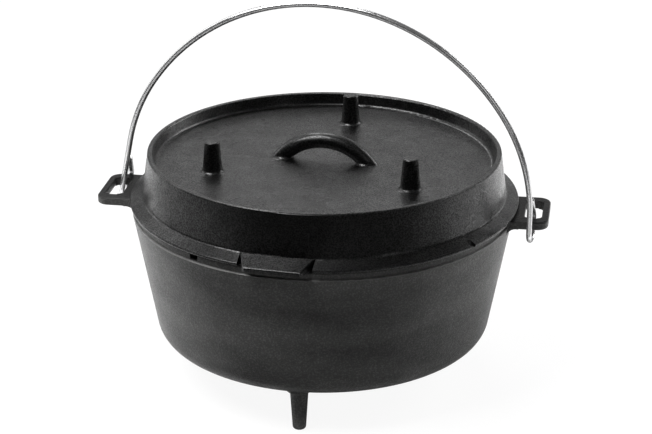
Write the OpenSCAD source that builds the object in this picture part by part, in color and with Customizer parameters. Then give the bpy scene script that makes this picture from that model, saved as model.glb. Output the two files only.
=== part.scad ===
// Camp dutch oven: a cast pot on three legs, a deep cast lid that turns over into a skillet,
// and a bent wire bail that hooks onto the pot's two ears.
// Millimetres, +Z up. The origin is on the ground under the middle of the pot,
// the ears lie along X and the lid's tongue points to -Y.

/* [Pot] */
// Outer radius at the ledge below the rim
pot_top_r = 162.2; // [145:0.1:180]
// Outer radius where the wall's line meets the underside
pot_bottom_r = 141.5; // [125:0.1:155]
// Height from the underside to the top of the rim
pot_h = 120.5; // [90:0.5:160]
// Thickness of the wall
pot_wall = 5; // [4:0.1:8]
// Thickness of the floor
pot_floor = 5.5; // [4:0.1:10]
// Outer radius of the edge between wall and underside
pot_corner_r = 16.5; // [10:0.5:25]
// Inner radius of the edge between wall and floor
pot_inner_corner_r = 11; // [6:0.5:18]
// Height of the rim band that is set back under the lid
rim_band_h = 7.3; // [5:0.1:10]
// How far the rim band is set back from the ledge
rim_band_step = 1.7; // [0.8:0.1:3]
// Width of the flat rim that the lid rests on
rim_land_w = 5.5; // [4.5:0.1:7]
// Height below the band over which the inner wall runs up to the mouth
rim_lip_h = 8; // [4:0.5:14]
// Rounding of the rim's outer edge
rim_edge_r = 1; // [0.4:0.1:1.4]
// Chamfer of the ledge
ledge_chamfer = 0.7; // [0.3:0.1:0.8]

/* [Legs] */
// Height of the underside above the ground
leg_h = 36; // [20:0.5:60]
// Radius of the circle that the legs stand on
leg_ring_r = 126; // [100:0.5:128]
// Diameter at the root
leg_root_d = 15.5; // [12:0.1:20]
// Diameter at the tip
leg_tip_d = 11; // [8:0.1:12]
// Rounding of the tip
leg_tip_r = 2.6; // [1:0.1:3.5]
// Radius of the root's fillet on the underside
leg_fillet_r = 3; // [1.5:0.1:5]
// Direction of the first leg
leg_first_angle = -90; // [-180:1:180]
// Number of legs
leg_count = 3; // [3:1:4]

/* [Probe notch] */
// Direction of the notch for a thermometer probe in the rim
probe_angle = -121; // [-150:1:-100]
// Width at the top of the rim
probe_top_w = 10; // [8:0.5:14]
// Width at the bottom
probe_bottom_w = 7; // [3:0.5:8]
// Depth below the rim
probe_depth = 6.5; // [3:0.5:7]

/* [Ears] */
// Thickness of the ear plate
ear_t = 7; // [6:0.1:9]
// Drop of the ear's top below the rim
ear_drop = 1.7; // [1:0.1:4]
// Width of the web between the pot's ledge and the hole
ear_web_w = 10; // [8:0.1:16]
// Size of the hole away from the pot
ear_hole_w = 14.3; // [13:0.1:20]
// Size of the hole along the rim
ear_hole_l = 38; // [30:0.5:46]
// Width of the two bars that the bail hooks onto
ear_bar_w = 10.5; // [9:0.1:12]
// Width of the outer bar
ear_end_w = 6; // [5:0.1:9]
// Radius of the outer corners
ear_corner_r = 10; // [8:0.5:10]
// Radius of the hole's corners
ear_hole_r = 4; // [1:0.5:6]
// Rounding along the ear's edges
ear_edge_r = 1.5; // [0.8:0.1:2]
// Radius of the fillets between the ear's sides and the rim
ear_side_fillet_r = 7; // [4:0.5:10]
// Radius of the fillet under the ear
ear_under_fillet_r = 9; // [5:0.5:9.5]

/* [Lid] */
// Reach of the lid's flange beyond the pot's rim
flange_over = 4.5; // [3:0.1:7]
// Width of the sloping flange
flange_w = 10.7; // [10:0.1:11.5]
// Thickness of the flange's edge
flange_edge_t = 2.9; // [2:0.1:4]
// Rise of the flange from its edge to the lid's wall
flange_rise = 4.8; // [3:0.1:7]
// Radius of the fillet between flange and wall
flange_fillet_r = 2.5; // [1:0.1:4]
// Height of the lid's wall above the flange, up to the coal rim's top
lid_wall_h = 35.7; // [28:0.1:50]
// Lean of the lid's wall, inwards to the top, in degrees
lid_wall_lean = 8; // [2:0.1:12]
// Thickness of the lid's wall
lid_wall_t = 4.5; // [4:0.1:6]
// Thickness of the lid's plate
lid_plate_t = 4.5; // [4:0.1:8]
// Height of the coal rim above the plate
coal_rim_h = 10.8; // [8:0.1:16]
// Width of the coal rim at its top
coal_rim_w = 4.3; // [3.6:0.1:6]
// Spread of the coal rim's inner face from top to bottom
coal_rim_draft = 2; // [0.5:0.1:3]
// Rounding of the coal rim's top edges
coal_rim_edge_r = 1.3; // [0.5:0.1:1.6]
// Radius of the fillet between plate and coal rim
coal_fillet_r = 3; // [1:0.1:5]
// Radius of the corner inside the hollow of the lid
lid_hollow_r = 9; // [4:0.5:14]
// Depth of the skirt that keeps the lid on the pot
skirt_h = 5; // [3:0.5:7]
// Gap between skirt and pot mouth
skirt_gap = 2; // [1.8:0.1:2.4]
// Turn of the lid in its seat, in degrees
lid_turn = -5; // [-12:1:12]
// Sideways play that the lid has taken up in its seat
lid_shift = 1.1; // [0:0.1:1.6]

/* [Lid tongue] */
// Width of the tongue where it leaves the lid's wall
tongue_root_w = 61; // [50:0.5:70]
// Width of the tongue at its straight front edge
tongue_tip_w = 47; // [36:0.5:49]
// Reach of the tongue beyond the flange
tongue_over = 6; // [4:0.5:7]
// Thickness of the tongue's front edge
tongue_tip_t = 3.2; // [2.5:0.1:4.5]
// Rounding of the tongue's top edges
tongue_edge_r = 1.5; // [0.5:0.1:2]
// Rounding of the tongue's front corners
tongue_corner_r = 3; // [1:0.5:6]

/* [Lid edge notch] */
// Direction of the small notch in the flange, in the lid's own frame
vent_angle = -30; // [-60:1:60]
// Width of the notch
vent_w = 5.5; // [3:0.5:8]
// Depth of the notch from the flange's edge
vent_depth = 6; // [4:0.5:7]

/* [Lid handle] */
// Diameter of the round handle bar
handle_d = 13.6; // [10:0.1:15]
// Height of the handle above the plate
handle_rise = 24.4; // [22:0.1:32]
// Radius of the arch along the middle of the bar
handle_arc_r = 48.5; // [45:0.5:60]
// Shift of the handle's feet to the middle, under the bar
handle_foot_in = 1.5; // [0:0.1:3]
// Radius of the handle's foot on the plate
handle_foot_r = 10.5; // [9:0.1:13]
// Radius of the fillet round the handle's feet
handle_fillet_r = 3.5; // [2:0.1:4]

/* [Lid studs] */
// Radius of the circle that the studs stand on
stud_ring_r = 97; // [80:0.5:115]
// Diameter at the root
stud_root_d = 17; // [14:0.1:20]
// Diameter at the top
stud_tip_d = 12.3; // [9:0.1:13]
// Height of the studs above the handle's top
stud_over_handle = 2; // [0.2:0.1:3]
// Rounding of the top edge
stud_tip_r = 1.5; // [0.5:0.1:3]
// Radius of the fillet at the root
stud_fillet_r = 3; // [1:0.1:5]
// Direction of the first stud
stud_first_angle = 90; // [0:1:180]
// Number of studs
stud_count = 3; // [3:1:4]

/* [Bail] */
// Diameter of the wire
wire_d = 4.8; // [4:0.1:5.2]
// Distance of the bail's legs from the pot side of the ear holes
bail_leg_inset = 5.3; // [4.6:0.1:7]
// Height of the straight right leg above the pivots
bail_leg_h = 10.3; // [8:0.1:40]
// Lean of the left leg, inwards to the top, in degrees
bail_left_lean = 11.5; // [0:0.5:12]
// Radius of the bail's shoulders
bail_shoulder_r = 152; // [110:0.5:160]
// Half of the angle that the flatter crown spans, in degrees
bail_crown_half = 56; // [45:1:70]
// Sideways play that the bail has taken up at rest
bail_shift = 2.6; // [1.5:0.1:2.8]
// Running gap between an eye and the bar inside it
eye_gap = 0.5; // [0.4:0.05:0.6]
// Drop of the eye's bend below the pivot
eye_drop = 4.8; // [2:0.1:8]
// Straight length of the returning end above the pivot
eye_stem_h = 3; // [2.5:0.1:6]
// Bend radius where the returning end leans to the leg
eye_bend_r = 6; // [5:0.5:8]
// Lean of the returning end, in degrees
eye_close_angle = 33; // [25:1:36]
// Gap between the end of the wire and the leg
eye_tip_gap = 0.5; // [0.4:0.1:2]

/* [Hidden] */
$fn = 96;
over = 1;
rounding_lap = 0.4;
wire_r = wire_d / 2;
// Where two lengths of wire meet, the gap between them and how little the bead there stands proud
joint_gap = 0.1;
joint_bead = 0.02;
function trim_angle(r) = joint_gap / r * 180 / PI;

// Pot levels and radii
underside_z = leg_h;
rim_z = underside_z + pot_h;
ledge_z = rim_z - rim_band_h;
floor_z = underside_z + pot_floor;
band_r = pot_top_r - rim_band_step;
mouth_r = band_r - rim_land_w;
pot_lean = atan((pot_top_r - pot_bottom_r) / (ledge_z - underside_z));
lip_z = ledge_z - rim_lip_h;
function pot_outer_r(z) = pot_bottom_r + (z - underside_z) * tan(pot_lean);
function pot_inner_r(z) = pot_outer_r(z) - pot_wall / cos(pot_lean);

// Ear levels and places, measured from the pot's axis along X
ear_top_z = rim_z - ear_drop;
ear_bottom_z = ear_top_z - ear_t;
ear_fillet_z = max(ear_bottom_z, ledge_z + rim_edge_r / 2);
ear_root_x = (band_r + mouth_r) / 2;
ear_hole_x0 = pot_top_r + ear_web_w;
ear_hole_x1 = ear_hole_x0 + ear_hole_w;
ear_end_x = ear_hole_x1 + ear_end_w;
ear_bar_y = ear_hole_l / 2 + ear_bar_w / 2;
ear_half_w = ear_hole_l / 2 + ear_bar_w;
ear_corner_x = ear_end_x - ear_corner_r;
ear_corner_y = ear_half_w - ear_corner_r;

// Lid levels and radii
flange_r = band_r + flange_over;
flange_top_z = rim_z + flange_edge_t;
flange_edge_r = flange_edge_t / 2;
lid_wall_r = flange_r - flange_w;
lid_wall_z = flange_top_z + flange_rise;
lid_top_z = lid_wall_z + lid_wall_h;
coal_rim_r = lid_wall_r - lid_wall_h * tan(lid_wall_lean);
plate_z = lid_top_z - coal_rim_h;
plate_under_z = plate_z - lid_plate_t;
coal_tray_r = coal_rim_r - coal_rim_w - coal_rim_draft;
skirt_r = mouth_r - skirt_gap;
hollow_r = lid_wall_r - lid_wall_t / cos(lid_wall_lean);
hollow_top_r = hollow_r - (plate_under_z - lid_wall_z) * tan(lid_wall_lean);
flange_slope = atan(flange_rise / (flange_w - flange_edge_r));
coal_rim_slope = atan(coal_rim_draft / coal_rim_h);
tongue_y = flange_r + tongue_over;
tongue_root_y = sqrt(pow(lid_wall_r, 2) - pow(tongue_root_w / 2, 2));
tongue_tip_z = rim_z + tongue_tip_t;
tongue_slope = (lid_wall_z - tongue_tip_z) / (tongue_y - lid_wall_r);
tongue_foot = [tongue_root_w / 2, -tongue_root_y, tongue_tip_z + (tongue_y - tongue_root_y) * tongue_slope];
tongue_run = [tongue_tip_w / 2, -tongue_y, tongue_tip_z] - tongue_foot;
tongue_side_angle = atan2(tongue_run[1], tongue_run[0]);
tongue_side_fall = atan2(tongue_run[2], norm([tongue_run[0], tongue_run[1]]));
handle_z = plate_z + handle_rise - handle_d / 2 - handle_arc_r;
handle_foot_x = sqrt(pow(handle_arc_r, 2) - pow(plate_z - handle_z, 2));
stud_h = handle_rise + stud_over_handle;

// Bail: each eye clears the bar's corners all the way round
pivot_z = ear_top_z - ear_t / 2;
bar_half_diagonal = norm([ear_bar_w / 2 - ear_edge_r, ear_t / 2 - ear_edge_r]) + ear_edge_r;
eye_r = bar_half_diagonal + eye_gap + wire_r;
bail_half_span = ear_hole_x0 + bail_leg_inset;
bail_shoulder_x = bail_half_span - bail_shoulder_r;
bail_crown_r = bail_shoulder_r + bail_shoulder_x / sin(bail_crown_half);
bail_crown_drop = bail_shoulder_x / tan(bail_crown_half);
// Where the leaning left leg leaves its shoulder, and how far out it reaches the pivot's level
bail_left_leg_x = bail_shoulder_x + bail_shoulder_r * cos(bail_left_lean);
bail_left_leg_z = bail_leg_h + bail_shoulder_r * sin(bail_left_lean);
bail_left_span = bail_left_leg_x + bail_left_leg_z * tan(bail_left_lean);
bail_skew = asin(2 * ear_bar_y / (bail_half_span + bail_left_span));
eye_lean_y = eye_r - eye_bend_r * (1 - cos(eye_close_angle));
eye_lean_z = eye_stem_h + eye_bend_r * sin(eye_close_angle);
eye_tip_y = -eye_r + wire_r * (1 + cos(eye_close_angle)) + eye_tip_gap;
eye_lean_l = (eye_lean_y - eye_tip_y) / sin(eye_close_angle);

function along(angle) = [cos(angle), sin(angle)];

// The sliver between a corner and the arc that rounds it, reaching a little past the corner. The two
// angles point along the corner's edges. Added to a hollow corner it is a fillet, and cut from a sharp
// one a rounding.
module rounding(corner, angle_1, angle_2, r) {
    half = abs(angle_1 - angle_2) / 2;
    inward = along((angle_1 + angle_2) / 2);
    middle = corner + r / sin(half) * inward;
    difference() {
        polygon([
            corner - rounding_lap * inward,
            corner + r / tan(half) * along(angle_1),
            middle,
            corner + r / tan(half) * along(angle_2)
        ]);
        translate(middle) circle(r);
    }
}

// A turned peg along +Z with a fillet at its root, sunk a little into what carries it
module peg(root_d, tip_d, h, tip_r, fillet_r, sink) {
    root_r = root_d / 2;
    end_r = tip_d / 2;
    side = atan2(h, end_r - root_r);
    rotate_extrude() {
        difference() {
            polygon([[0, -sink], [root_r, -sink], [root_r, 0], [end_r, h], [0, h]]);
            rounding([end_r, h], 180, side + 180, tip_r);
        }
        rounding([root_r, 0], 0, side, fillet_r);
        translate([0, -sink]) square([root_r + fillet_r, sink]);
    }
}

module pot_section() {
    difference() {
        polygon([
            [0, underside_z],
            [pot_bottom_r, underside_z],
            [pot_outer_r(ledge_z - ledge_chamfer), ledge_z - ledge_chamfer],
            [pot_top_r - ledge_chamfer, ledge_z],
            [band_r, ledge_z],
            [band_r, rim_z],
            [0, rim_z]
        ]);
        rounding([pot_bottom_r, underside_z], 180, 90 - pot_lean, pot_corner_r);
        rounding([band_r, rim_z], 180, 270, rim_edge_r);
        pot_hollow();
    }
}

module pot_hollow() {
    difference() {
        polygon([
            [0, floor_z],
            [pot_inner_r(floor_z), floor_z],
            [pot_inner_r(lip_z), lip_z],
            [mouth_r, ledge_z],
            [mouth_r, rim_z + over],
            [0, rim_z + over]
        ]);
        rounding([pot_inner_r(floor_z), floor_z], 180, 90 - pot_lean, pot_inner_corner_r);
    }
}

// A straight piece of ear plate along +X with rounded edges, its top at the ear's top
module ear_bar(x0, x1, y0, y1) {
    translate([x0, 0, 0]) rotate([90, 0, 90]) linear_extrude(x1 - x0)
        ear_edge_section(y0, y1);
}

module ear_edge_section(y0, y1) {
    difference() {
        translate([y0, ear_bottom_z]) square([y1 - y0, ear_t]);
        rounding([y0, ear_bottom_z], 0, 90, ear_edge_r);
        rounding([y1, ear_bottom_z], 180, 90, ear_edge_r);
        rounding([y0, ear_top_z], 0, -90, ear_edge_r);
        rounding([y1, ear_top_z], 180, 270, ear_edge_r);
    }
}

module ear() {
    inner_w = ear_half_w - ear_corner_r / 2 - ear_hole_l / 2;
    for (side = [-1, 1]) mirror([0, side < 0 ? 1 : 0, 0]) {
        ear_bar(ear_root_x, ear_corner_x, ear_hole_l / 2, ear_half_w);
        ear_bar(ear_root_x, ear_hole_x1 + ear_edge_r, ear_hole_l / 2, ear_hole_l / 2 + inner_w);
        translate([ear_corner_x, ear_corner_y, 0]) rotate_extrude(angle = 90)
            intersection() {
                ear_edge_section(-ear_corner_r, ear_corner_r);
                translate([0, ear_bottom_z]) square([ear_corner_r, ear_t]);
            }
        translate([0, 0, ear_bottom_z]) linear_extrude(ear_t) {
            rounding([ear_hole_x0, ear_hole_l / 2], 0, -90, ear_hole_r);
            rounding([ear_hole_x1, ear_hole_l / 2], 180, 270, ear_hole_r);
        }
        translate([0, 0, ear_fillet_z]) linear_extrude(ear_top_z - ear_fillet_z) ear_side_fillet();
    }
    rotate([0, 0, 90]) ear_bar(-ear_half_w + ear_edge_r, ear_half_w - ear_edge_r, -ear_hole_x0, -ear_root_x);
    rotate([0, 0, 90]) ear_bar(-ear_corner_y, ear_corner_y, -ear_end_x, -ear_hole_x1);
    ear_under_fillet();
}

// Fillet in plan between the ear's side and the round of the rim, run out inside the rim's surface
module ear_side_fillet() {
    run_out_r = band_r - rim_edge_r;
    middle_y = ear_half_w + ear_side_fillet_r;
    middle_x = sqrt(pow(run_out_r + ear_side_fillet_r, 2) - pow(middle_y, 2));
    touch = run_out_r / (run_out_r + ear_side_fillet_r);
    difference() {
        polygon([
            [ear_root_x, ear_half_w - ear_edge_r],
            [middle_x, ear_half_w - ear_edge_r],
            [middle_x, middle_y],
            [middle_x * touch, middle_y * touch]
        ]);
        translate([middle_x, middle_y]) circle(ear_side_fillet_r);
    }
}

// Fillet under the ear, swept round the pot's wall
module ear_under_fillet() {
    half_angle = asin((ear_half_w - ear_edge_r) / pot_top_r);
    corner_r = pot_outer_r(ear_bottom_z);
    rotate([0, 0, -half_angle]) rotate_extrude(angle = 2 * half_angle) {
        rounding([corner_r, ear_bottom_z], 0, -90 - pot_lean, ear_under_fillet_r);
        translate([ear_root_x, ear_bottom_z]) square([ear_hole_x0 - ear_edge_r - ear_root_x, ear_edge_r]);
    }
}

// Cut across the rim for a thermometer probe
module probe_cut() {
    rotate([0, 0, probe_angle]) translate([mouth_r - over, 0, 0]) rotate([90, 0, 90])
        linear_extrude(rim_land_w + rim_band_step + 2 * over)
            polygon([
                [-probe_bottom_w / 2, rim_z - probe_depth],
                [probe_bottom_w / 2, rim_z - probe_depth],
                [probe_top_w / 2, rim_z],
                [probe_top_w / 2, rim_z + over],
                [-probe_top_w / 2, rim_z + over],
                [-probe_top_w / 2, rim_z]
            ]);
}

module pot() {
    color([0.16, 0.16, 0.16]) {
        difference() {
            rotate_extrude() pot_section();
            probe_cut();
        }
        for (side = [0, 180]) rotate([0, 0, side]) ear();
        for (i = [0 : leg_count - 1]) rotate([0, 0, leg_first_angle + i * 360 / leg_count])
            translate([leg_ring_r, 0, underside_z]) rotate([180, 0, 0])
                peg(leg_root_d, leg_tip_d, leg_h, leg_tip_r, leg_fillet_r, pot_floor / 2);
    }
}

module lid_section() {
    difference() {
        polygon([
            [0, plate_z],
            [coal_tray_r, plate_z],
            [coal_rim_r - coal_rim_w, lid_top_z],
            [coal_rim_r, lid_top_z],
            [lid_wall_r, lid_wall_z],
            [flange_r - flange_edge_r, flange_top_z],
            [flange_r - flange_edge_r, rim_z],
            [skirt_r, rim_z],
            [skirt_r, rim_z - skirt_h],
            [0, rim_z - skirt_h]
        ]);
        rounding([coal_rim_r, lid_top_z], 180, 270 + lid_wall_lean, coal_rim_edge_r);
        rounding([coal_rim_r - coal_rim_w, lid_top_z], 0, -90 - coal_rim_slope, coal_rim_edge_r);
        lid_hollow();
    }
    translate([flange_r - flange_edge_r, rim_z + flange_edge_r]) circle(flange_edge_r);
    rounding([lid_wall_r, lid_wall_z], -flange_slope, 90 + lid_wall_lean, flange_fillet_r);
    rounding([coal_tray_r, plate_z], 180, 90 - coal_rim_slope, coal_fillet_r);
}

module lid_hollow() {
    difference() {
        polygon([
            [0, rim_z - skirt_h - over],
            [hollow_r, rim_z - skirt_h - over],
            [hollow_r, lid_wall_z],
            [hollow_top_r, plate_under_z],
            [0, plate_under_z]
        ]);
        rounding([hollow_top_r, plate_under_z], 180, 270 + lid_wall_lean, lid_hollow_r);
    }
}

// The flange stops at both sides of the tongue, down to the foot of the wall
module tongue_gap() {
    difference() {
        translate([-tongue_root_w / 2, -flange_r - over, rim_z - over])
            cube([tongue_root_w, flange_r, lid_wall_z - rim_z + over]);
        translate([0, 0, rim_z - 2 * over]) cylinder(r = lid_wall_r, h = lid_wall_z - rim_z + 4 * over);
    }
}

// Lifting tongue: a flat tab that narrows to a straight front edge, with its top edges rounded
module tongue() {
    difference() {
        intersection() {
            rotate([90, 0, 90]) translate([0, 0, -tongue_root_w / 2]) linear_extrude(tongue_root_w)
                tongue_section();
            translate([0, 0, rim_z - over]) linear_extrude(lid_wall_z - rim_z + 2 * over)
                tongue_plan();
        }
        for (side = [0, 1]) mirror([side, 0, 0]) tongue_side_cut();
    }
}

// The tongue from the side, from inside the lid's wall to its front edge
module tongue_section() {
    inner_y = hollow_r + over;
    difference() {
        polygon([
            [-inner_y, rim_z],
            [-tongue_y, rim_z],
            [-tongue_y, tongue_tip_z],
            [-lid_wall_r, lid_wall_z],
            [-inner_y, lid_wall_z]
        ]);
        rounding([-tongue_y, tongue_tip_z], -90, atan(tongue_slope), tongue_edge_r);
    }
}

module tongue_plan() {
    difference() {
        polygon([
            [-tongue_root_w / 2, 0],
            [-tongue_root_w / 2, -tongue_root_y],
            [-tongue_tip_w / 2, -tongue_y],
            [tongue_tip_w / 2, -tongue_y],
            [tongue_root_w / 2, -tongue_root_y],
            [tongue_root_w / 2, 0]
        ]);
        for (side = [0, 1]) mirror([side, 0])
            rounding([tongue_tip_w / 2, -tongue_y], 180, tongue_side_angle + 180, tongue_corner_r);
        circle(hollow_r + over);
    }
}

// What is rounded off the top edge of the tongue's side. The top rises inwards a little there.
module tongue_side_cut() {
    rise = atan(-tongue_slope * cos(tongue_side_angle)
        / (cos(tongue_side_fall) + tongue_slope * sin(tongue_side_fall) * sin(tongue_side_angle)));
    translate(tongue_foot) rotate([0, -tongue_side_fall, tongue_side_angle]) translate([-over, 0, 0])
        rotate([90, 0, 90]) linear_extrude(norm(tongue_run) + 2 * over)
            rounding([0, 0], 180 - rise, 270, tongue_edge_r);
}

module vent_cut() {
    rotate([0, 0, vent_angle]) translate([flange_r - vent_depth + vent_w / 2, 0, rim_z - over]) {
        cylinder(d = vent_w, h = lid_wall_z - rim_z);
        translate([0, -vent_w / 2, 0]) cube([vent_depth, vent_w, lid_wall_z - rim_z]);
    }
}

// Arched bar, cut off inside the plate, with a round foot at each end
module handle() {
    reach = handle_arc_r + handle_d;
    intersection() {
        translate([0, 0, handle_z]) rotate([90, 0, 0]) rotate_extrude(angle = 180)
            translate([handle_arc_r, 0]) circle(d = handle_d);
        translate([-reach, -handle_d, plate_z - lid_plate_t / 2]) cube([2 * reach, 2 * handle_d, 2 * reach]);
    }
    for (side = [-1, 1]) translate([side * (handle_foot_x - handle_foot_in), 0, plate_z]) rotate_extrude() {
        translate([0, -lid_plate_t / 2]) square([handle_foot_r, lid_plate_t / 2]);
        rounding([handle_foot_r - handle_fillet_r, 0], 0, 90, handle_fillet_r);
        square([handle_foot_r - handle_fillet_r, handle_fillet_r]);
    }
}

module lid() {
    color([0.19, 0.19, 0.19]) translate([lid_shift, 0, 0]) rotate([0, 0, lid_turn]) {
        difference() {
            rotate_extrude() lid_section();
            tongue_gap();
            vent_cut();
        }
        tongue();
        handle();
        for (i = [0 : stud_count - 1]) rotate([0, 0, stud_first_angle + i * 360 / stud_count])
            translate([stud_ring_r, 0, plate_z])
                peg(stud_root_d, stud_tip_d, stud_h, stud_tip_r, stud_fillet_r, lid_plate_t / 2);
    }
}

// A bend of the wire, starting at start degrees in the plane of X and Y
module wire_bend(r, start, sweep) {
    rotate([0, 0, start]) rotate_extrude(angle = sweep) translate([r, 0]) circle(wire_r);
}

// A bead that joins two lengths of wire, which leave a hair's breadth between them
module joint() {
    sphere(wire_r + joint_bead);
}

// A bend of the arch, with a joint at the end where it starts
module arch_bend(r, start, sweep) {
    wire_bend(r, start + trim_angle(r), sweep - 2 * trim_angle(r));
    rotate([0, 0, start]) translate([r, 0, 0]) joint();
}

// The teardrop eye at the foot of a leg, in the plane of Y and Z round the pivot, with the leg itself
module bail_eye(leg_l) {
    translate([0, -eye_r, -eye_drop]) cylinder(r = wire_r, h = leg_l + eye_drop);
    translate([0, 0, -eye_drop]) rotate([90, 0, 90]) wire_bend(eye_r, 180, 180);
    translate([0, eye_r, -eye_drop]) cylinder(r = wire_r, h = eye_drop + eye_stem_h);
    translate([0, eye_r - eye_bend_r, eye_stem_h]) rotate([90, 0, 90])
        wire_bend(eye_bend_r, 0, eye_close_angle - trim_angle(eye_bend_r));
    translate([0, eye_lean_y, eye_lean_z]) rotate([eye_close_angle, 0, 0]) {
        joint();
        translate([0, 0, joint_gap]) cylinder(r = wire_r, h = eye_lean_l - joint_gap);
    }
}

module bail() {
    color([0.78, 0.78, 0.79]) translate([0, 0, pivot_z]) rotate([0, 0, -bail_skew]) translate([bail_shift, 0, 0]) {
        translate([bail_half_span, 0, 0]) bail_eye(bail_leg_h);
        translate([-bail_left_span, 0, 0]) rotate([0, bail_left_lean, 0])
            bail_eye(bail_left_leg_z / cos(bail_left_lean));
        translate([0, -eye_r, bail_leg_h]) rotate([90, 0, 0]) {
            translate([bail_shoulder_x, 0, 0]) arch_bend(bail_shoulder_r, 0, 90 - bail_crown_half);
            translate([0, -bail_crown_drop, 0])
                arch_bend(bail_crown_r, 90 - bail_crown_half, 2 * bail_crown_half);
            translate([-bail_shoulder_x, 0, 0]) {
                arch_bend(bail_shoulder_r, 90 + bail_crown_half, 90 - bail_crown_half - bail_left_lean);
                rotate([0, 0, 180 - bail_left_lean]) translate([bail_shoulder_r, 0, 0]) joint();
            }
        }
    }
}

pot();
lid();
bail();
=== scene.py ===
"""Looks of a camp dutch oven: seasoned cast iron pot and lid, and a bright wire bail."""

import math

import bpy
from mathutils import Matrix, Vector

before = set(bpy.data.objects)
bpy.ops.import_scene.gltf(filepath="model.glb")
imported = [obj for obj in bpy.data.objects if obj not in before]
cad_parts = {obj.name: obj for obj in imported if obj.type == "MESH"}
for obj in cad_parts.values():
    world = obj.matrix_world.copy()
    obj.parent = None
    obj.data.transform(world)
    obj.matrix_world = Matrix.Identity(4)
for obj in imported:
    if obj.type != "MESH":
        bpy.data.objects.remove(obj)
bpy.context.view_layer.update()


# Pot: one sand casting with its ears and legs. The foundry sand leaves a fine pebbled skin all
# over, and the oil that is baked on turns it black and satin, a little uneven from place to place.
def new_group(name, inputs, outputs):
    group = bpy.data.node_groups.new(name, "ShaderNodeTree")
    for direction, sockets in (("INPUT", inputs), ("OUTPUT", outputs)):
        for socket_name, kind in sockets.items():
            group.interface.new_socket(socket_name, in_out=direction, socket_type=f"NodeSocket{kind}")
    group_in, group_out = group.nodes.new("NodeGroupInput"), group.nodes.new("NodeGroupOutput")
    return group, group_in.outputs, group_out.inputs


def plug(tree, source, socket):
    """Link the source to the socket, or set the socket to it where it is a plain value."""
    if isinstance(source, bpy.types.NodeSocket):
        tree.links.new(source, socket)
    else:
        socket.default_value = source


def noise(tree, place, per_metre, detail, roughness=0.5):
    node = tree.nodes.new("ShaderNodeTexNoise")
    plug(tree, place, node.inputs["Vector"])
    plug(tree, per_metre, node.inputs["Scale"])
    plug(tree, detail, node.inputs["Detail"])
    plug(tree, roughness, node.inputs["Roughness"])
    return node.outputs["Fac"]


def spread(tree, source, span, new_span=(0.0, 1.0)):
    """Stretch the span of values to the new span, and hold what lies beyond it at its ends."""
    node = tree.nodes.new("ShaderNodeMapRange")
    plug(tree, source, node.inputs["Value"])
    for end, value in zip(("From Min", "From Max", "To Min", "To Max"), span + new_span):
        plug(tree, value, node.inputs[end])
    return node.outputs["Result"]


def combine(tree, operation, first, second=None):
    node = tree.nodes.new("ShaderNodeMath")
    node.operation = operation
    plug(tree, first, node.inputs[0])
    if second is not None:
        plug(tree, second, node.inputs[1])
    return node.outputs["Value"]


# Sand grain: the height of the casting's skin, made of rounded sand grains, finer grit between
# them and slow waves of the mould, and a mask of the grains that stand proud
grit_per_grain = 2.3
mould_waves_per_metre = 38.0
grain_share, grit_share, wave_share = 0.65, 0.35, 0.8
most_of_noise = (0.3, 0.7)
sand_grain, grain_in, grain_out = new_group(
    "Sand grain",
    inputs={"Vector": "Vector", "Grains per metre": "Float"},
    outputs={"Height": "Float", "Proud": "Float"},
)
pebbles = noise(sand_grain, grain_in["Vector"], grain_in["Grains per metre"], detail=1.0)
grit_per_metre = combine(sand_grain, "MULTIPLY", grain_in["Grains per metre"], grit_per_grain)
grit = noise(sand_grain, grain_in["Vector"], grit_per_metre, detail=2.0, roughness=0.6)
waves = noise(sand_grain, grain_in["Vector"], mould_waves_per_metre, detail=2.0)
skin = combine(
    sand_grain, "ADD",
    spread(sand_grain, pebbles, most_of_noise, (0.0, grain_share)),
    spread(sand_grain, grit, most_of_noise, (0.0, grit_share)),
)
wavy_skin = combine(sand_grain, "ADD", skin, combine(sand_grain, "MULTIPLY", waves, wave_share))
plug(sand_grain, wavy_skin, grain_out["Height"])
plug(sand_grain, skin, grain_out["Proud"])


def blend(tree, share, first, second, kind="RGBA"):
    node = tree.nodes.new("ShaderNodeMix")
    node.data_type = kind
    plug(tree, share, node.inputs["Factor"])
    plug(tree, first, node.inputs["A"])
    plug(tree, second, node.inputs["B"])
    return node.outputs["Result"]


# Seasoning: the colour and the gloss of the baked oil, with dull and glossier patches, paler metal
# showing where the sand grains stand proud, and a clear film of oil that lies thick on the grains
# and thin between them, and is smeared a little
patches_per_metre, smears_per_metre = 14.0, 60.0
patch_edges = (0.35, 0.68)
metal_in_patches = 0.12
bare_grain_tops = (0.52, 0.85)
filmed_grain = (0.25, 0.75)
smear_strength = (0.72, 1.28)
seasoning, oil_in, oil_out = new_group(
    "Seasoning",
    inputs={
        "Vector": "Vector", "Proud": "Float", "Oil colour": "Color", "Metal colour": "Color",
        "Glossy": "Float", "Dull": "Float", "Thin film": "Float", "Thick film": "Float",
    },
    outputs={"Colour": "Color", "Roughness": "Float", "Film": "Float"},
)
patchy = noise(seasoning, oil_in["Vector"], patches_per_metre, detail=4.0, roughness=0.6)
patches = spread(seasoning, patchy, patch_edges)
metal_share = combine(
    seasoning, "ADD",
    spread(seasoning, oil_in["Proud"], bare_grain_tops),
    combine(seasoning, "MULTIPLY", patches, metal_in_patches),
)
tint = blend(seasoning, metal_share, oil_in["Oil colour"], oil_in["Metal colour"])
plug(seasoning, tint, oil_out["Colour"])
gloss = blend(seasoning, patches, oil_in["Glossy"], oil_in["Dull"], kind="FLOAT")
plug(seasoning, gloss, oil_out["Roughness"])
film = spread(seasoning, oil_in["Proud"], filmed_grain, (oil_in["Thin film"], oil_in["Thick film"]))
smears = noise(seasoning, oil_in["Vector"], smears_per_metre, detail=5.0, roughness=0.65)
smeared_film = combine(
    seasoning, "MULTIPLY", film, spread(seasoning, smears, most_of_noise, smear_strength))
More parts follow.
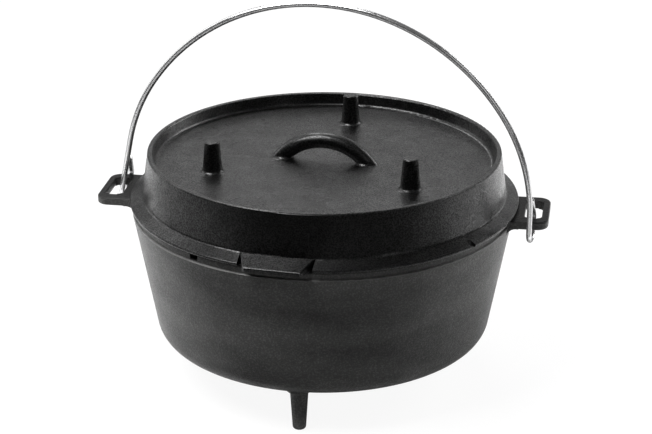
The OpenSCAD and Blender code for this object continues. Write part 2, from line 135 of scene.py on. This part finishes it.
plug(seasoning, smeared_film, oil_out["Film"])


def new_material(name):
    material = bpy.data.materials.new(name)
    material.use_nodes = True
    return material, material.node_tree, material.node_tree.nodes["Principled BSDF"].inputs


def object_place(tree):
    return tree.nodes.new("ShaderNodeTexCoord").outputs["Object"]


def add_group(tree, group, values):
    node = tree.nodes.new("ShaderNodeGroup")
    node.node_tree = group
    node.name = group.name
    for socket_name, value in values.items():
        plug(tree, value, node.inputs[socket_name])
    return node.outputs


def bump(tree, height, depth):
    node = tree.nodes.new("ShaderNodeBump")
    plug(tree, depth, node.inputs["Distance"])
    plug(tree, height, node.inputs["Height"])
    return node.outputs["Normal"]


def seasoned_iron(name, grains_per_metre, grain_depth, oil, metal, glossy, dull, films, film_gloss):
    """Iron under a clear film of oil: the film gives the shine, and the iron itself nearly none."""
    material, tree, shader = new_material(name)
    place = object_place(tree)
    grain = add_group(tree, sand_grain, {"Vector": place, "Grains per metre": grains_per_metre})
    thin_film, thick_film = films
    baked_oil = add_group(tree, seasoning, {
        "Vector": place, "Proud": grain["Proud"], "Oil colour": oil, "Metal colour": metal,
        "Glossy": glossy, "Dull": dull, "Thin film": thin_film, "Thick film": thick_film,
    })
    plug(tree, baked_oil["Colour"], shader["Base Color"])
    plug(tree, baked_oil["Roughness"], shader["Roughness"])
    plug(tree, bump(tree, grain["Height"], grain_depth), shader["Normal"])
    plug(tree, baked_oil["Film"], shader["Coat Weight"])
    shader["Coat Roughness"].default_value = film_gloss
    shader["Specular IOR Level"].default_value = 0.08
    return material


def dress(node, material):
    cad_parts[node].data.materials.clear()
    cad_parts[node].data.materials.append(material)


pot_iron = seasoned_iron(
    "pot iron", grains_per_metre=700.0, grain_depth=0.0003,
    oil=(0.04, 0.04, 0.039, 1), metal=(0.068, 0.068, 0.066, 1), glossy=0.38, dull=0.5,
    films=(0.21, 0.45), film_gloss=0.39,
)
pot_tree = pot_iron.node_tree
pot_shader = pot_tree.nodes["Principled BSDF"].inputs
pot_oil = pot_tree.nodes["Seasoning"].outputs
pot_place = pot_tree.nodes["Texture Coordinate"].outputs["Object"]


def vector_step(tree, operation, first, second=None, result="Vector"):
    node = tree.nodes.new("ShaderNodeVectorMath")
    node.operation = operation
    plug(tree, first, node.inputs[0])
    if second is not None:
        plug(tree, second, node.inputs[1])
    return node.outputs[result]


# Oil was wiped on round the pot, so its colour runs in long soft streaks, lighter and darker
wipes_per_metre = 22.0
streak_scale = (0.35, 0.35, 1)
wipe_edges, wipe_strength = (0.32, 0.68), (0.45, 1.5)
wiping = vector_step(pot_tree, "MULTIPLY", pot_place, streak_scale)
wipes = noise(pot_tree, wiping, wipes_per_metre, detail=5.0, roughness=0.55)
wiped = spread(pot_tree, wipes, wipe_edges, wipe_strength)
wiped_colour = vector_step(pot_tree, "MULTIPLY", pot_oil["Colour"], wiped)


def along(tree, place, axis):
    node = tree.nodes.new("ShaderNodeSeparateXYZ")
    plug(tree, place, node.inputs["Vector"])
    return node.outputs[axis]


def grey(level):
    return (level, level, level, 1)


# Painted shadow in the seam under the lid, where the flange shades it: the band is painted near
# black there, and its oil film is dulled too
painted_shadow_black = grey(0.002)
seam_depth = 0.003
rim_height = max(vertex.co.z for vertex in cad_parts["pot"].data.vertices)
pot_height = along(pot_tree, pot_place, "Z")
painted_shadow = spread(pot_tree, pot_height, (rim_height - seam_depth, rim_height - seam_depth / 2))
shadowed_colour = blend(pot_tree, painted_shadow, wiped_colour, painted_shadow_black)
outside_shadow = combine(pot_tree, "SUBTRACT", 1.0, painted_shadow)
plug(pot_tree, combine(pot_tree, "MULTIPLY", pot_oil["Film"], outside_shadow), pot_shader["Coat Weight"])

# Painted highlight: the edge of the ledge below the rim is painted paler, as if lit, more in some
# places than in others, and the ears that stand out beyond it aren't
ledge_highlight_colour = (0.18, 0.18, 0.177, 1)
highlight_breaks_per_metre = 70.0
highlight_break_edges, highlight_strength = (0.35, 0.65), (0.35, 1.0)
rim_band, ledge_radius = 0.0075, 0.1622
highlight_half_width, highlight_reach, highlight_fade = 0.0008, 0.0002, 0.0004
highlight_end = ledge_radius + highlight_reach
from_ledge = combine(pot_tree, "SUBTRACT", pot_height, rim_height - rim_band)
off_ledge = combine(pot_tree, "ABSOLUTE", from_ledge)
on_ledge = spread(pot_tree, off_ledge, (highlight_half_width / 2, highlight_half_width), (1.0, 0.0))
level_place = vector_step(pot_tree, "MULTIPLY", pot_place, (1, 1, 0))
from_middle = vector_step(pot_tree, "LENGTH", level_place, result="Value")
clear_of_ears = spread(pot_tree, from_middle, (highlight_end, highlight_end + highlight_fade), (1.0, 0.0))
highlight_breaks = noise(pot_tree, pot_place, highlight_breaks_per_metre, detail=4.0)
painted_highlight = combine(
    pot_tree, "MULTIPLY",
    combine(pot_tree, "MULTIPLY", on_ledge, clear_of_ears),
    spread(pot_tree, highlight_breaks, highlight_break_edges, highlight_strength),
)
plug(pot_tree, blend(pot_tree, painted_highlight, shadowed_colour, ledge_highlight_colour), pot_shader["Base Color"])
dress("pot", pot_iron)


# Lid: a second sand casting of the same iron, with its handle, studs, coal rim and tongue. Its
# plate is cast smoother than the pot's wall and holds more oil.
lid_iron = seasoned_iron(
    "lid iron", grains_per_metre=850.0, grain_depth=0.00028,
    oil=grey(0.0005), metal=grey(0.004), glossy=0.25, dull=0.36,
    films=(0.2, 0.95), film_gloss=0.28,
)
dress("lid", lid_iron)


# Bail: one length of bright drawn steel wire, bent cold round a former. Drawing leaves fine marks
# on it, and handling dulls it here and there.
dull_steel, bright_steel = (0.68, 0.68, 0.69, 1), grey(0.9)
wire_roughness = (0.18, 0.28)
marks_per_metre, mark_depth = 900.0, 0.00002
handling_per_metre = 60.0
bright_wire, wire_tree, wire_shader = new_material("bright wire")
wire_place = object_place(wire_tree)
handled = noise(wire_tree, wire_place, handling_per_metre, detail=3.0)
marks = noise(wire_tree, wire_place, marks_per_metre, detail=3.0)
plug(wire_tree, blend(wire_tree, handled, dull_steel, bright_steel), wire_shader["Base Color"])
plug(wire_tree, spread(wire_tree, handled, most_of_noise, wire_roughness), wire_shader["Roughness"])
plug(wire_tree, bump(wire_tree, marks, mark_depth), wire_shader["Normal"])
wire_shader["Metallic"].default_value = 0.9
wire_shader["Specular IOR Level"].default_value = 0.0
wire_shader["Specular Tint"].default_value = grey(0.05)
dress("bail", bright_wire)


# Floor: plain and matt white. It lights the oven from below as white paint does, and the camera
# sees it glow, so that only a faint shadow is left on it.
def plane(name, size):
    bpy.ops.object.select_all(action="DESELECT")
    bpy.ops.mesh.primitive_plane_add(size=size)
    bpy.context.object.name = name
    return bpy.context.object


white_paint, paint_in_view, glow_in_view = grey(0.9), grey(0.1), 0.92
floor = plane("floor", size=8.0)
floor_paint, floor_tree, floor_shader = new_material("floor paint")
on_camera = floor_tree.nodes.new("ShaderNodeLightPath").outputs["Is Camera Ray"]
floor_colour = blend(floor_tree, on_camera, white_paint, paint_in_view)
floor_glow = combine(floor_tree, "MULTIPLY", on_camera, glow_in_view)
plug(floor_tree, floor_colour, floor_shader["Base Color"])
plug(floor_tree, floor_glow, floor_shader["Emission Strength"])
floor_shader["Emission Color"].default_value = grey(1)
floor_shader["Roughness"].default_value = 0.9
floor_shader["Specular IOR Level"].default_value = 0.0
floor.data.materials.append(floor_paint)


# Cards: plain matt paper that shapes what the oven mirrors, out of the camera's sight. A grey one
# close by on the floor gives the pot's foot a soft return, a black one beyond it and a grey one at
# the left keep the lid's wall dark, and a narrow white one before the right ear and a black flag
# beside it draw a bright line along the wire.
def studio_card(name, middle, width, depth, level, turn=0.0):
    card = plane(name, size=1.0)
    shape = Matrix.Rotation(turn, 4, "Y") @ Matrix.Diagonal((width, depth, 1, 1))
    card.data.transform(Matrix.Translation(middle) @ shape)
    card.visible_camera = False
    card.visible_shadow = False
    paper, _, paper_shader = new_material(name)
    paper_shader["Base Color"].default_value = grey(level)
    paper_shader["Specular IOR Level"].default_value = 0.0
    card.data.materials.append(paper)
    return card


grey_card = studio_card("grey card", (0.275, -0.38, 0.002), width=1.45, depth=0.48, level=0.33)
black_card = studio_card("black card", (-0.45, -2.06, 0.002), width=4.1, depth=2.88, level=0.03)
side_card = studio_card("side card", (-2.1, 0.94, 0.002), width=2.8, depth=3.12, level=0.4)
white_card = studio_card("white card", (0.23, -0.6, 0.004), width=0.18, depth=0.36, level=0.9)
black_flag = studio_card(
    "black flag", (0.4, 0.05, 0.42), width=0.4, depth=0.4, level=0.03, turn=math.pi / 2)
black_flag.visible_diffuse = False


# Room: the camera sees it white all round. For the oven only the back wall is lit, less so near the
# floor and hardly towards the ceiling, and the camera's side is dark, so the front of the iron turns
# nearly black.
wall_span, wall_light = (0.1, 0.95), (0.008, 0.66)
ceiling_span, ceiling_light = (0.35, 0.8), (1.0, 0.05)
skirting_span, skirting_light = (0.05, 0.25), (0.4, 1.0)
studio = bpy.data.worlds.new("studio")
bpy.context.scene.world = studio
studio.use_nodes = True
studio_tree = studio.node_tree
towards = studio_tree.nodes.new("ShaderNodeTexCoord").outputs["Generated"]
upwards = along(studio_tree, towards, "Z")
wall = spread(studio_tree, along(studio_tree, towards, "Y"), wall_span, wall_light)
upper_wall = combine(
    studio_tree, "MULTIPLY",
    spread(studio_tree, upwards, ceiling_span, ceiling_light),
    spread(studio_tree, upwards, skirting_span, skirting_light),
)
room = combine(studio_tree, "MULTIPLY", wall, upper_wall)
on_camera = studio_tree.nodes.new("ShaderNodeLightPath").outputs["Is Camera Ray"]
white_room = blend(studio_tree, on_camera, room, 1.0, kind="FLOAT")
plug(studio_tree, white_room, studio_tree.nodes["Background"].inputs["Color"])


# Lights: four large softboxes round the oven, and a small weak strip close to the right ear, which
# gives the wire its shine there
def soft_light(name, place, target, width, height, power):
    light = bpy.data.lights.new(name, "AREA")
    light.shape = "RECTANGLE"
    light.size = width
    light.size_y = height
    light.energy = power
    holder = bpy.data.objects.new(name, light)
    bpy.context.scene.collection.objects.link(holder)
    aim = (Vector(place) - Vector(target)).to_track_quat("Z", "Y")
    holder.matrix_world = Matrix.Translation(place) @ aim.to_matrix().to_4x4()


oven_middle, bail_side = (0, 0, 0.12), (0.15, 0, 0.28)
soft_light("left softbox", (-1.5, 0.6, 0.9), oven_middle, width=1.0, height=1.4, power=8)
soft_light("right softbox", (1.4, 0.9, 0.8), oven_middle, width=1.0, height=1.2, power=25)
soft_light("back softbox", (-0.4, 1.2, 1.7), oven_middle, width=1.0, height=0.8, power=18)
soft_light("front softbox", (-0.65, -0.5, 1.5), oven_middle, width=0.9, height=0.9, power=36)
soft_light("wire strip", (0.44, -0.5, 0.52), bail_side, width=0.2, height=0.5, power=0.28)
bpy.context.scene.view_settings.view_transform = "Standard"


# Camera: as in the photograph, about 1.6 m away and 22 degrees above, a little to the right of the
# lid's tongue, with a long lens
camera_place = (0.237, -1.4963, 0.755)
camera_down = math.radians(22.203)
camera_turn = math.radians(8.91)
camera_data = bpy.data.cameras.new("camera")
camera_data.lens = 105.4
camera_data.sensor_width = 36.0
camera = bpy.data.objects.new("camera", camera_data)
bpy.context.scene.collection.objects.link(camera)
camera.location = camera_place
camera.rotation_euler = (math.pi / 2 - camera_down, 0, camera_turn)
bpy.context.scene.camera = camera
